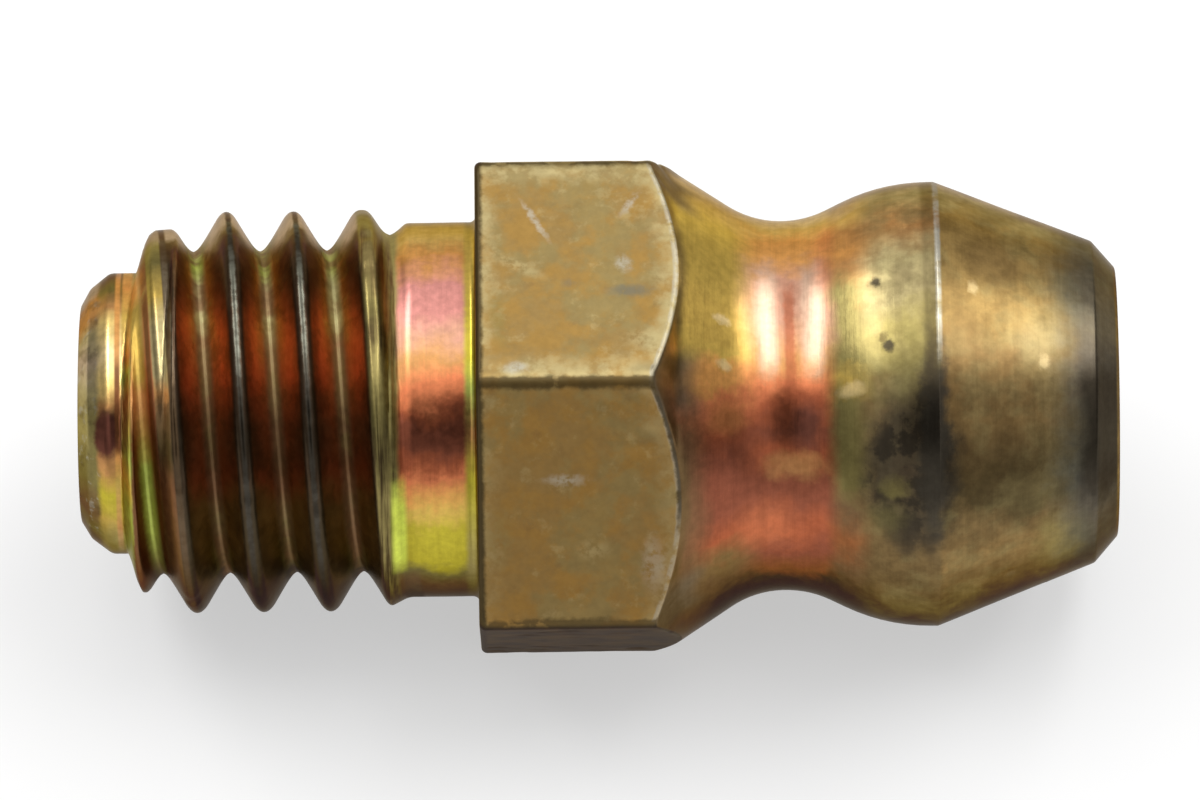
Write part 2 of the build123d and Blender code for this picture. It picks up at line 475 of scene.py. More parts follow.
def band(value, middle, reach):
    """How much of a soft band lies here: full near its middle, gone at its reach on either side."""
    away = tuned("ABSOLUTE", tuned("SUBTRACT", value, middle), 0.0)
    return between(away, reach, reach / 3)


def sector(turn, start, end, edge=4):
    """The share of a sector around the axis, between two angles from the top towards the front."""
    entering = between(turn, (start - edge + 180) / 360, (start + edge + 180) / 360)
    leaving = between(turn, (end + edge + 180) / 360, (end - edge + 180) / 360)
    return meet(entering, leaving)


def ring(turn, colours, below=umber):
    """Colours around the axis, by degrees from the top towards the front. They close below in this dark
    colour, and the films darken towards it from about 100 degrees on: painted shade on the underside.
    """
    node = shader_node(turn.id_data, "ValToRGB", {0: turn})
    stops = node.color_ramp.elements
    for place, (angle, colour) in enumerate(sorted({-180: below, 180: below, **colours}.items())):
        stop = stops[place] if place < 2 else stops.new(1)
        stop.position = (angle + 180) / 360
        stop.color = colour
    return node.outputs[0]


def part_places(tree):
    """The spot in millimetres, its place along the axis, its radius, and its share of a turn from
    below over the back, the top and the front."""
    own = shader_node(tree, "TexCoord").outputs["Object"]
    spot = shader_node(tree, "VectorMath", {0: own, 3: 1 / mm}, operation="SCALE").outputs[0]
    parts = shader_node(tree, "SeparateXYZ", {0: spot}).outputs
    front = tuned("SUBTRACT", 0.0, parts["Y"])
    angle = tuned("ARCTAN2", front, parts["Z"])
    turn = tuned("DIVIDE", angle, 2 * pi)
    turn = tuned("ADD", turn, 0.5)
    across = shader_node(tree, "CombineXYZ", {1: parts["Y"], 2: parts["Z"]}).outputs[0]
    radius = shader_node(tree, "VectorMath", {0: across}, operation="LENGTH").outputs["Value"]
    return spot, parts["X"], radius, turn


def shifted(value, noise, amount):
    """The value, moved by up to half the amount either way by the noise."""
    swing = tuned("SUBTRACT", noise, 0.5)
    feeds = {0: swing, 1: amount, 2: value}
    return shader_node(noise.id_data, "Math", feeds, operation="MULTIPLY_ADD").outputs[0]


def carried(tree, name):
    """The value that the skin carries at each point under this name."""
    return shader_node(tree, "Attribute", attribute_name=name).outputs["Fac"]


def finish_material(name):
    """A new material with an empty tree but for its shader, and the shader and the tree."""
    material = bpy.data.materials.new(name)
    material.use_nodes = True
    tree = material.node_tree
    return material, tree, tree.nodes["Principled BSDF"]


def metal(shader, colour, gloss, relief, strength, depth):
    """Gives the shader a metal's colour, its gloss, and a fine relief of this strength and depth."""
    tree = colour.id_data
    bump = shader_node(tree, "Bump", {"Height": relief, "Strength": strength, "Distance": depth})
    for place, value in (("Base Color", colour), ("Roughness", gloss), ("Normal", bump.outputs[0])):
        tree.links.new(value, shader.inputs[place])
    shader.inputs["Metallic"].default_value = 1.0


def film_coat(shader, coat_roughness):
    """Gives the shader the film's dull edge tint, and the thin clear layer over it."""
    shader.inputs["Specular Tint"].default_value = edge_tint
    shader.inputs["Coat Weight"].default_value = coat_weight
    shader.inputs["Coat Roughness"].default_value = coat_roughness
    shader.inputs["Coat IOR"].default_value = coat_ior


# Places and widths in the finishes are in millimetres, and angles in degrees.
thread_finish, tree, shader = finish_material("passivated_thread")
spot, along, out, turn = part_places(tree)
from_root = carried(tree, "from_root")
wound = carried(tree, "wound")
cloud = grain(spot, 0.9, detail=5.0)
blotch = grain(spot, 2.6)
fleck = grain(spot, 8.0, detail=3.0)
lathe = grain(spot, 9.0, roughness=0.7, stretch=(1, 0.04, 0.04))
turn = shifted(shifted(shifted(turn, cloud, 0.07), blotch, 0.025), lathe, 0.012)
wavy = shifted(along, cloud, 0.14)
near_root = shifted(shifted(from_root, cloud, 0.1), blotch, 0.06)

# Flanks first, darker towards the crests as painted shade, then a painted glow of reflected light beside
# each root, the roots and the crests.
flank_film = ring(turn, {
    -75: umber, -58: pale_ash, -36: pale_ash, -28: hazel, -21: chestnut, -11: chocolate, 6: fire,
    26: fire, 35: dark_ember, 44: chocolate, 58: dark_ember, 68: hazel, 96: hazel, 108: umber,
    120: pitch_brown, 150: pitch_brown,
})
glow_film = ring(turn, {
    -60: olive, -38: olive, -26: copper, -12: glowing, 10: glowing, 24: fire, 44: dark_ember,
    60: dark_ember, 70: hazel, 80: hazel, 100: moss, 120: pitch_brown, 150: pitch_brown,
})
# Painted shade: the flanks darken towards the crests, except at the top.
high_flank = between(shifted(from_root, blotch, 0.14), 0.25, 0.38)
dark_flank = painted(0.6, flank_film, umber)
high_film = painted(sector(turn, -30, 150), flank_film, dark_flank)
colour = painted(high_flank, flank_film, high_film)
colour = painted(between(near_root, 0.26, 0.1), colour, glow_film)
dark_patch = between(grain(spot, 1.7, detail=5.0, roughness=0.7), 0.52, 0.38)
colour = painted(meet(dark_patch, sector(turn, -24, 150), 0.4), colour, umber)
# Olive patches beside the roots on the upper side: blotches in the film, and painted glow.
olive_patch = meet(between(blotch, 0.52, 0.66), between(from_root, 0.3, 0.1), 0.7)
olive_patch = meet(olive_patch, sector(turn, -50, 14, edge=14))
colour = painted(olive_patch, colour, olive)
root_film = ring(turn, {
    -75: moss, -48: sand, -30: lime, -16: grey_olive, 2: grey_olive, 14: hazel, 30: hazel, 40: bark,
    50: bark, 62: chestnut, 72: hazel, 92: bark, 108: umber, 125: pitch_brown,
})
root_film = painted(meet(between(blotch, 0.45, 0.6), 0.5), root_film, moss)
root_gap = between(grain(spot, 1.3, detail=3.0), 0.44, 0.6)
root_film = painted(meet(root_gap, 0.75), root_film, chocolate)
colour = painted(between(shifted(from_root, blotch, 0.06), 0.14, 0.05), colour, root_film)
# Painted shade on the crests' rounded edges, except at the top.
crest_edge_shade = between(shifted(from_root, blotch, 0.05), 0.355, 0.4)
colour = painted(meet(crest_edge_shade, sector(turn, -20, 158, edge=6), 0.8), colour, pitch_brown)
crest_film = ring(turn, {
    -75: dark_steel, -46: bark, -32: steel, -22: dark_steel, -10: steel, 16: steel, 28: dark_steel,
    42: pitch_brown, 58: dark_steel, 76: dark_steel, 92: pitch_brown,
}, below=pitch_brown)
crest_wear = between(shifted(blotch, fleck, 0.5), 0.55, 0.35)
crest_film = painted(meet(crest_wear, 0.55), crest_film, pitch_brown)
crest_line = between(shifted(from_root, fleck, 0.05), 0.44, 0.48)
colour = painted(meet(crest_line, between(out, 2.8, 2.86)), colour, crest_film)

# The first crest is a low shelf, and the last one runs out into the neck.
first_root_film = ring(turn, {
    -60: moss, -30: straw, -16: amber, -4: brass, 12: honey, 26: brass, 36: copper, 48: brass, 58: lime,
    84: lime, 108: moss, 130: umber,
})
left_flank_film = ring(turn, {
    -60: moss, -30: olive, -14: amber, 2: honey, 16: ember, 28: ember, 38: copper, 50: rust,
    62: chestnut, 110: chestnut, 130: umber,
})
colour = painted(between(wound, 0.0, -0.05), colour, left_flank_film)
colour = painted(band(shifted(wound, fleck, 0.04), 0.01, 0.14), colour, first_root_film)
colour = painted(meet(band(wound, 0.17, 0.05), sector(turn, -5, 130)), colour, chestnut)
shelf_film = ring(turn, {
    -70: olive, -40: ash, -28: olive, -16: moss, -4: brass, 6: sand, 26: sand, 32: copper, 37: bark,
    46: umber, 60: chestnut, 90: bark, 108: umber, 125: pitch_brown,
})
colour = painted(meet(between(wound, 0.2, 0.24), between(wound, 0.47, 0.43)), colour, shelf_film)
first_line = meet(band(wound, 0.5, 0.07), sector(turn, -70, 150))
colour = painted(first_line, colour, painted(0.5, crest_film, bark))
runout_film = ring(turn, {
    -75: moss, -50: sand, -36: olive, -24: bark, -12: bark, 2: moss, 16: umber, 26: olive, 38: moss,
    50: umber, 110: umber,
})
runout_film = painted(between(lathe, 0.42, 0.6), runout_film, painted(0.6, runout_film, olive))
colour = painted(between(wound, 3.38, 3.44), colour, runout_film)
last_groove = meet(between(wound, 3.86, 3.92), sector(turn, -75, 60))
last_film = ring(turn, {-180: olive, -10: olive, 10: bark, 30: copper, 45: chestnut})
colour = painted(last_groove, colour, last_film)

# The plain neck, with a bright line at either side; the lime line at the thread's end is a painted
# highlight.
neck_film = ring(turn, {
    -120: moss, -70: olive, -44: honey, -28: straw, -18: amber, -7: rose, 4: rose, 12: salmon,
    21: copper, 29: coral, 34: coral, 37: brick, 41: wine, 49: wine, 53: brick, 57: coral, 63: amber,
    69: honey, 75: lemon, 88: lemon, 95: moss, 104: bark, 116: umber, 130: pitch_brown,
})
edge_film = ring(turn, {
    -100: moss, -60: olive, -20: honey, 20: lemon, 33: lime, 44: copper, 60: lemon, 90: olive,
    125: umber,
})
colour = painted(between(wavy, -1.22, -1.12), colour, neck_film)
# A painted highlight: a bright lime line low on the front at the thread's end.
colour = painted(meet(band(along, -1.17, 0.15), sector(turn, 60, 92, edge=7)), colour, bright_lime)
colour = painted(between(shifted(along, fleck, 0.06), -0.22, -0.12), colour, edge_film)

# The pilot: a rose line, then a green one, part its smooth band from the thread.
pilot_film = ring(turn, {
    -75: moss, -40: bark, -26: moss, -12: copper, -2: gold, 8: cream, 24: gold, 32: copper,
    36: chestnut, 39: maroon, 49: maroon, 53: copper, 60: copper, 74: lemon, 86: brass, 100: olive,
    116: olive, 128: umber,
})
rose_film = ring(turn, {
    -60: blush, -25: amber, -6: amber, 8: copper, 18: chestnut, 34: rust, 50: rust, 56: amber,
    66: brass, 90: copper, 112: sand, 130: umber,
})
green_film = ring(turn, {
    -60: straw, -25: amber, -8: honey, 4: straw, 14: copper, 22: lime, 32: copper, 44: brass, 54: lime,
    62: honey, 74: lime, 98: lime, 118: sand, 130: umber,
})
rim_film = ring(turn, {
    -75: moss, -50: ash, -34: ash, -24: copper, -10: copper, 2: sand, 12: ash, 24: sand, 34: olive,
    44: olive, 58: moss, 70: moss, 84: bark, 100: moss, 116: bark,
})
rim_fleck = between(grain(spot, 5.0), 0.56, 0.68)
rim_film = painted(meet(rim_fleck, 0.4), rim_film, pale_grey)
rim_film = painted(meet(between(blotch, 0.48, 0.36), 0.4), rim_film, umber)
pilot_film = painted(band(along, -5.34, 0.06), pilot_film, rose_film)
pilot_film = painted(between(along, -5.3, -5.25), pilot_film, green_film)
colour = painted(between(shifted(along, fleck, 0.06), -5.1, -5.16), colour, pilot_film)
colour = painted(between(shifted(along, blotch, 0.16), -5.58, -5.68), colour, rim_film)
burn = mark(strayed(spot, 5.0, 0.2), (-5.53, -1.47, 1.45), (0.18, 0.34, 0.34), 0.3)
colour = painted(meet(burn, between(along, -5.3, -5.34)), colour, maroon)
# Painted shade: dark on the rim's inner edge and inside the bore.
colour = painted(between(out, 1.5, 1.3), colour, dark_steel)

# Dust, lathe marks and the clear, slightly uneven gloss of the plating.
shade = painted(between(fleck, 0.3, 0.7), worn_shade, clean_shade)
colour = tinted(colour, shade)
streak = painted(between(lathe, 0.3, 0.7), streak_dark, streak_light)
colour = tinted(colour, streak)
root_matt = meet(between(from_root, 0.16, 0.08), 0.2)
gloss = tuned("ADD", spread(fleck, 0.28, 0.34), root_matt)
metal(shader, colour, gloss, tuned("ADD", lathe, fleck), strength=0.15, depth=0.008 * mm)
film_coat(shader, coat_roughness=0.3)
threaded_shank.data.materials.append(thread_finish)
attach(threaded_shank, "nipple")
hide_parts("nipple_body")

# ---- Hexagon and grease head
# The bar's own hexagon, chamfered at the head's side, then the cone, the neck that a coupler's jaws
# grip and the turned head, with the mouth in its face.
face_x = body_high.x
flat_radius = body_high.z
half_flat = radians(30)
edge_break = 0.09 * mm
seat_ring_radii = (bore_radius, 2.8 * mm, 2.95 * mm)
corner_softness = 0.3 * mm
hexagon_length = 3.0 * mm
chamfer_slope = tan(radians(52))
chamfer_run = 0.5 * mm
arc_margin = 0.12 * mm
arc_softness = 0.05 * mm
cone_gap = 0.25 * mm
flat_rows = 20
arc_rows = np.array([-0.08, -0.05, -0.025, 0, 0.025, 0.05, 0.08]) * mm
blend_rows = 7
cone_angle = radians(33)
neck_radius = 5.53 / 2 * mm
neck_fillet = 1.5 * mm
back_angle = radians(26)
back_fillet = 3.0 * mm
head_radius = 3.325 * mm
edge_x = 6.85 * mm
front_angle = radians(21.3)
face_chamfer = 0.35 * mm
face_chamfer_angle = radians(49)
mouth_radius = 0.8 * mm
mouth_edge = 0.08 * mm
mouth_x = face_x - 0.3 * mm
seat_slope = tan(radians(30))
bore_shown = 2 * mm
flat_wave = 0.003 * mm
turned_radius = 2.7 * mm
corner_nick = 0.03 * mm
nick_share = 0.3
pits = (  # place along the axis, degrees from below, reach, depth
    (5.94 * mm, 1.4, 0.07 * mm, 0.035 * mm),
    (6.1 * mm, 20.3, 0.085 * mm, 0.04 * mm),
    (6.03 * mm, 18.2, 0.05 * mm, 0.02 * mm),
    (8.9 * mm, -22, 0.06 * mm, 0.02 * mm),
    (7.9 * mm, 96, 0.07 * mm, 0.025 * mm),
    (6.3 * mm, -110, 0.08 * mm, 0.03 * mm),
    (8.3 * mm, 170, 0.07 * mm, 0.03 * mm),
)

corner_arc = (flat_radius - corner_softness) / cos(half_flat)
aside = np.concatenate([np.linspace(0, 2.15, 7), [2.5, 3.0, 3.7, 4.6], np.linspace(5.5, 30, 24)])
aside = np.radians(np.concatenate([-aside[:0:-1], aside[:-1]]))
flat_reach = flat_radius / np.cos(half_flat - np.abs(aside))
arc_share = np.clip(corner_softness**2 - (corner_arc * np.sin(aside)) ** 2, 0, None)
arc_reach = corner_arc * np.cos(aside) + np.sqrt(arc_share)
arc_end = atan(corner_softness * sin(half_flat) / (corner_arc + corner_softness * cos(half_flat)))
hexagon_r = np.where(np.abs(aside) < arc_end, arc_reach, flat_reach)
phase = ((np.arange(6)[:, None] + 0.5) / 6 + aside[None, :] / (2 * pi)).reshape(-1)
phase = np.append(phase, phase[0] + 1)[None, :]
hexagon_r = np.append(np.tile(hexagon_r, 6), hexagon_r[0])[None, :]
arc_x = hexagon_length - (hexagon_r - flat_radius) / chamfer_slope

chamfer_x = face_x - face_chamfer
half_turn = (cone_angle + back_angle) / 2
corner_depth = cos((cone_angle - back_angle) / 2) / cos(half_turn) - 1
neck_corner_r = neck_radius - neck_fillet * corner_depth
neck_corner_x = hexagon_length + (flat_radius - neck_corner_r) / tan(cone_angle)
head_corner_x = neck_corner_x + (head_radius - neck_corner_r) / tan(back_angle)
cone_end_r = head_radius - (chamfer_x - edge_x) * tan(front_angle)
head_face_r = cone_end_r - face_chamfer * tan(face_chamfer_angle)
seat_end_x = mouth_x - (bore_radius - mouth_radius) / seat_slope
head_outline = rounded(
    [
        (hexagon_length - chamfer_run, flat_radius + chamfer_run * chamfer_slope, 0),
        (hexagon_length, flat_radius, chamfer_run),
        (neck_corner_x, neck_corner_r, neck_fillet),
        (head_corner_x, head_radius, back_fillet),
        (edge_x, head_radius, 0.08 * mm),
        (chamfer_x, cone_end_r, 0.12 * mm),
        (face_x, head_face_r, 0.08 * mm),
        (face_x, mouth_radius + mouth_edge, 0.03 * mm),
        (face_x - mouth_edge, mouth_radius, 0.03 * mm),
        (mouth_x, mouth_radius, 0),
        (seat_end_x, bore_radius, 0),
    ],
    arc_step=radians(4),
    run_step=0.05 * mm,
)
cone_start_x = hexagon_length + cone_gap
past_hexagon = np.argmax(head_outline.real > cone_start_x)
seat_rings = np.array(seat_ring_radii)[:, None] + 0 * phase
seat_r = np.concatenate([seat_rings, hexagon_r - 3 * edge_break, hexagon_r - 1.5 * edge_break])
quarter = np.radians([0, 22.5, 45, 67.5, 90])[:, None]
break_x = edge_break * (1 - np.cos(quarter)) + 0 * phase
break_r = hexagon_r - edge_break * (1 - np.sin(quarter))
start_x = 1.5 * edge_break
flat_x = start_x + (arc_x - arc_margin - start_x) * np.linspace(0, 1, flat_rows)[:, None]
cross_x = arc_x + arc_rows[:, None]
blend_x = cross_x[-1:] + (cone_start_x - cross_x[-1:]) * np.linspace(0, 1, blend_rows)[1:, None]
side_x = np.concatenate([flat_x, cross_x, blend_x])
near = head_outline[: past_hexagon + 4]
near = near[np.argsort(near.real)]
side_r = lower(hexagon_r + 0 * side_x, np.interp(side_x, near.real, near.imag), arc_softness)
bore_end_x = seat_end_x - bore_shown
bore_outline = rounded([(seat_end_x, bore_radius, 0), (bore_end_x, bore_radius, 0)], run_step=0.5 * mm)
rest = np.concatenate([head_outline[past_hexagon:], bore_outline[1:]])[:, None] + 0 * phase
head_x = np.concatenate([0 * seat_r, break_x, side_x, rest.real])
head_r = np.concatenate([seat_r, break_r, side_r, rest.imag])
on_outside = (head_r > turned_radius) & (head_x > 2 * edge_break)
waves = uneven(head_x, phase, waves_along=0.9, waves_around=8, seed=5)
head_r -= flat_wave * (1 + waves) * on_outside
nicks = uneven(head_x, phase, waves_along=2.2, waves_around=50, seed=7)
nicks = np.clip(nicks - nick_share, 0, 1) * corner_nick
corner_share = np.clip((head_r - flat_radius) / (corner_arc - flat_radius), 0, 1)
head_r -= nicks * corner_share * (head_x < hexagon_length)
for pit_x, pit_angle, pit_reach, pit_depth in pits:
    around = np.mod(phase - pit_angle / 360, 1) - 0.5
    away = np.hypot(head_x - pit_x, 2 * pi * around * head_r)
    head_r -= pit_depth * np.exp(-((away / pit_reach) ** 2)) * on_outside
from_middle = half_flat - np.abs(np.append(np.tile(aside, 6), aside[0]))
from_corner = flat_radius * (tan(half_flat) - np.tan(from_middle))
marks = {"from_arc": (arc_x - head_x) / mm, "from_corner": from_corner[None, :] / mm}
hexagon_and_head = skin("hexagon_and_head", head_x, head_r, phase, marks)

# The same film, dulled and stained, with painted highlights and painted shade: the flats are matt from
# the bar, the turned faces are smoother.
old_gold = (0.56, 0.37, 0.08, 1)
khaki = (0.28, 0.182, 0.062, 1)
ochre = (0.315, 0.19, 0.052, 1)
drab = (0.25, 0.21, 0.09, 1)
russet = (0.225, 0.14, 0.052, 1)
brown = (0.16, 0.105, 0.042, 1)
soot = (0.05, 0.042, 0.03, 1)
blotch_dark = (0.78, 0.76, 0.74, 1)
blotch_light = (1.2, 1.2, 1.18, 1)
hollow_shade_brown = (0.17, 0.13, 0.08, 1)
grey_green = (0.2, 0.195, 0.14, 1)
white = (1, 1, 1, 1)
end_shade = (0.5, 0.55, 0.72, 1)
warm_shade = (1, 0.93, 0.85, 1)

head_finish, tree, shader = finish_material("passivated_head")
spot, along, out, turn = part_places(tree)
plain_turn = turn
from_arc = carried(tree, "from_arc")
from_corner = carried(tree, "from_corner")
on_flat = between(from_arc, -0.03, 0.0)
cloud = grain(spot, 0.9, detail=5.0)
blotch = grain(spot, 2.0, detail=5.0)
fleck = grain(spot, 7.0)
lathe = grain(spot, 11.0, roughness=0.7, stretch=(1, 0.04, 0.04))
turn = shifted(shifted(shifted(turn, cloud, 0.08), blotch, 0.03), lathe, 0.008)
wavy = shifted(shifted(along, cloud, 0.3), fleck, 0.08)
rough_spot = strayed(spot, 2.4, 0.5)
ragged_spot = strayed(spot, 8.0, 0.16)

# Cone and neck. Two paler bands in the neck's hollow are painted highlights, with a darker line of
# painted shade between them, and the cone gets painted shade next to the hexagon.
cone_film = ring(turn, {
    -120: moss, -75: olive, -50: cream, -34: straw, -22: honey, -2: honey, 8: old_gold, 16: old_gold,
    20: honey, 26: amber, 31: amber, 36: coral, 42: brick, 50: wine, 64: wine, 75: brick, 86: russet,
    95: bark, 103: umber, 118: pitch_brown, 150: umber,
})
neck_film = ring(turn, {
    -120: moss, -75: olive, -50: cream, -36: straw, -25: amber, -13: amber, -4: salmon, 8: salmon,
    22: copper, 31: coral, 38: brick, 44: wine, 52: brick, 58: wine, 66: wine, 76: brick, 84: wine,
    94: rust, 102: umber, 116: pitch_brown, 150: umber,
})
colour = painted(between(wavy, 3.75, 4.3), cone_film, neck_film)
# Painted highlights: two paler bands in the neck's hollow, with a darker line of painted shade between
# them.
highlight_bands = tuned("MAXIMUM", band(wavy, 4.33, 0.22), band(wavy, 5.0, 0.24))
highlight_bands = meet(highlight_bands, sector(turn, -9, 25, edge=7), 0.85)
red_thread = meet(band(wavy, 4.66, 0.12), sector(turn, 0, 36, edge=7), 0.7)
# Painted shade: low on the cone next to the hexagon, just past the chamfer's arcs, in the hollow at each
# corner, and a darker spot at the upper front corner.
brown_shade = meet(between(wavy, 3.55, 3.1), sector(turn, 36, 150, edge=7), 0.8)
arc_shade = meet(between(shifted(from_arc, blotch, 0.16), -0.2, -0.04), 0.75)
corner_hollow = between(shifted(from_arc, blotch, 0.2), -0.75, -0.35)
corner_hollow = meet(corner_hollow, between(from_corner, 0.8, 0.3), 0.85)
corner_shade_spot = meet(mark(ragged_spot, (2.87, -1.6, 3.25), (0.17, 0.18, 0.2), 0.7), 0.7)
for share, tint in (
    (highlight_bands, blush), (red_thread, brick), (brown_shade, bark), (arc_shade, brown),
    (corner_hollow, hollow_shade_brown), (corner_shade_spot, umber),
):
    colour = painted(share, colour, tint)
for middle, reach, tint, share in (
    ((4.85, -1.88, 2.05), (0.2, 0.3, 0.3), maroon, 0.9),
    ((4.7, -2.25, 1.6), (0.4, 0.2, 0.2), copper, 0.7),
    ((3.75, -2.6, 1.6), (0.35, 0.3, 0.35), wine, 0.8),
    ((3.7, -1.9, 2.35), (0.3, 0.25, 0.3), amber, 0.3),
    ((4.25, -2.75, 0.75), (0.45, 0.3, 0.4), coral, 0.3),
    ((5.35, 0.9, 2.85), (0.3, 0.8, 0.4), coral, 0.6),
    ((4.0, -2.2, -1.9), (0.6, 0.5, 0.5), bark, 0.6),
):
    colour = painted(meet(mark(rough_spot, middle, reach, 0.6), share), colour, tint)

# Head: the curve behind its edge, the long cone before it, and the dark end.
lip_film = ring(turn, {
    -120: moss, -75: olive, -46: pale_ash, -34: straw, -24: copper, -13: amber, -5: copper, 5: olive,
    13: olive, 22: moss, 30: brass, 38: moss, 56: moss, 66: bark, 80: rust, 92: bark, 102: umber,
    118: pitch_brown,
})
back_film = ring(turn, {
    -120: moss, -75: brown, -50: pale_ash, -38: sand, -18: copper, -6: sand, 6: sand, 16: olive,
    25: moss, 36: bark, 52: bark, 64: brown, 100: brown, 114: umber, 130: pitch_brown,
})
front_film = ring(turn, {
    -120: moss, -75: brown, -50: pale_ash, -38: sand, -22: khaki, 14: khaki, 22: russet, 42: russet,
    52: brown, 64: umber, 74: brown, 86: russet, 100: brown, 114: umber, 130: pitch_brown,
})
colour = painted(between(wavy, 5.12, 5.42), colour, lip_film)
colour = painted(between(wavy, 5.55, 5.95), colour, back_film)
colour = painted(between(shifted(along, blotch, 0.1), 6.84, 6.92), colour, front_film)
green_tinge = meet(between(cloud, 0.56, 0.4), between(along, 5.5, 6.0))
colour = painted(meet(green_tinge, 0.4), colour, drab)
patches = painted(between(blotch, 0.32, 0.66), blotch_dark, blotch_light)
patches = painted(between(along, 5.2, 6.2), white, patches)
colour = tinted(colour, patches)
grime = between(shifted(grain(spot, 2.8, detail=5.0), cloud, 0.5), 0.42, 0.56)
smudge = mark(rough_spot, (6.42, -2.66, 1.95), (0.66, 1.15, 1.3), 0.3)
colour = painted(meet(smudge, 0.75), colour, soot)
colour = painted(meet(smudge, grime, 0.9), colour, pitch_brown)
for middle, reach, edge, tint, share in (
    ((6.76, -2.3, 2.3), (0.2, 1.7, 1.7), 0.5, soot, 0.95),
    ((6.2, -2.72, 1.7), (0.22, 0.16, 0.16), 0.7, moss, 0.8),
    ((6.05, -2.95, 1.2), (0.3, 0.25, 0.3), 0.6, moss, 0.4),
    ((8.0, -2.5, 1.3), (0.5, 0.5, 0.5), 0.7, umber, 0.5),
    ((8.65, -2.2, 1.1), (0.14, 0.2, 0.2), 0.8, umber, 0.8),
    ((7.2, -1.0, 3.0), (0.3, 0.4, 0.3), 0.7, russet, 0.5),
    ((8.3, -0.8, 2.7), (0.35, 0.3, 0.3), 0.7, sand, 0.35),
    ((8.7, -2.55, 0.1), (0.4, 0.5, 0.5), 0.7, olive, 0.6),
    ((7.7, 0.4, 2.95), (0.35, 0.4, 0.3), 0.7, russet, 0.45),
):
    colour = painted(meet(mark(rough_spot, middle, reach, edge), share), colour, tint)
# Painted shade: a dark band just behind the head's edge, on its upper side.
edge_shade_band = meet(band(shifted(along, fleck, 0.1), 6.74, 0.16), sector(turn, -60, 30, edge=8), 0.45)
colour = painted(edge_shade_band, colour, umber)
end_share = between(shifted(along, blotch, 0.9), 8.35, 9.1)
colour = painted(meet(end_share, 0.4), colour, grey_green)
colour = tinted(colour, painted(end_share, white, end_shade))
end_stain = meet(between(shifted(along, blotch, 0.4), 8.85, 9.1), sector(turn, 26, 74, edge=8))
colour = painted(meet(end_stain, 0.85), colour, pitch_brown)
# A pale line along the head's edge, on its upper side: wear, and a painted highlight.
pale_edge_line = meet(band(shifted(along, fleck, 0.03), 6.86, 0.06), sector(turn, -60, 19, edge=8))
colour = painted(meet(pale_edge_line, between(blotch, 0.3, 0.55), 0.85), colour, pale_grey)
across = shader_node(tree, "CombineXYZ", {0: out, 1: cloud}).outputs[0]
rings = grain(across, 9.0, roughness=0.7)
face_film = painted(between(blotch, 0.35, 0.65), brown, khaki)
face_film = painted(meet(between(rings, 0.42, 0.6), 0.5), face_film, umber)
colour = painted(between(along, 9.49, 9.53), colour, face_film)
# Painted shade: dark in the mouth and inside the bore.
colour = painted(between(out, 1.0, 0.85), colour, dark_steel)

# Flats: matt and blotched, paler beside their edges from wear and painted highlight, with painted shade
# along the corners and over the lower front flat, a dark strip at the seat's edge, and a few scuffs.
flat_film = painted(between(blotch, 0.4, 0.62), khaki, ochre)
greenish = meet(between(shifted(cloud, blotch, 0.3), 0.53, 0.4), 0.5)
pale_patch = meet(between(grain(spot, 3.3, detail=5.0), 0.56, 0.72), 0.3)
brown_patch = meet(between(grain(spot, 2.3, detail=5.0, roughness=0.7), 0.42, 0.3), 0.4)
upper = between(plain_turn, 0.585, 0.58)
from_rim = tuned("MINIMUM", from_arc, along)
# Paler beside the edges from wear, more so on the upper flats and beside their upper corners: painted
# highlight.
pale_rim = between(shifted(from_rim, blotch, 0.7), 0.4, 0.04)
pale_corner = meet(between(shifted(from_corner, blotch, 0.4), 0.55, 0.2), upper)
pale_rim = tuned("MAXIMUM", pale_rim, pale_corner)
rim_wear = between(shifted(grain(spot, 1.5), fleck, 0.3), 0.32, 0.56)
rim_share = mixed(upper, 0.4, 0.8)
pale_rim = meet(pale_rim, rim_share, tuned("MAXIMUM", rim_wear, 0.3))
line_wear = between(shifted(blotch, fleck, 0.4), 0.38, 0.56)
worn_line = meet(between(shifted(from_arc, fleck, 0.08), 0.085, 0.045), line_wear, 0.5)
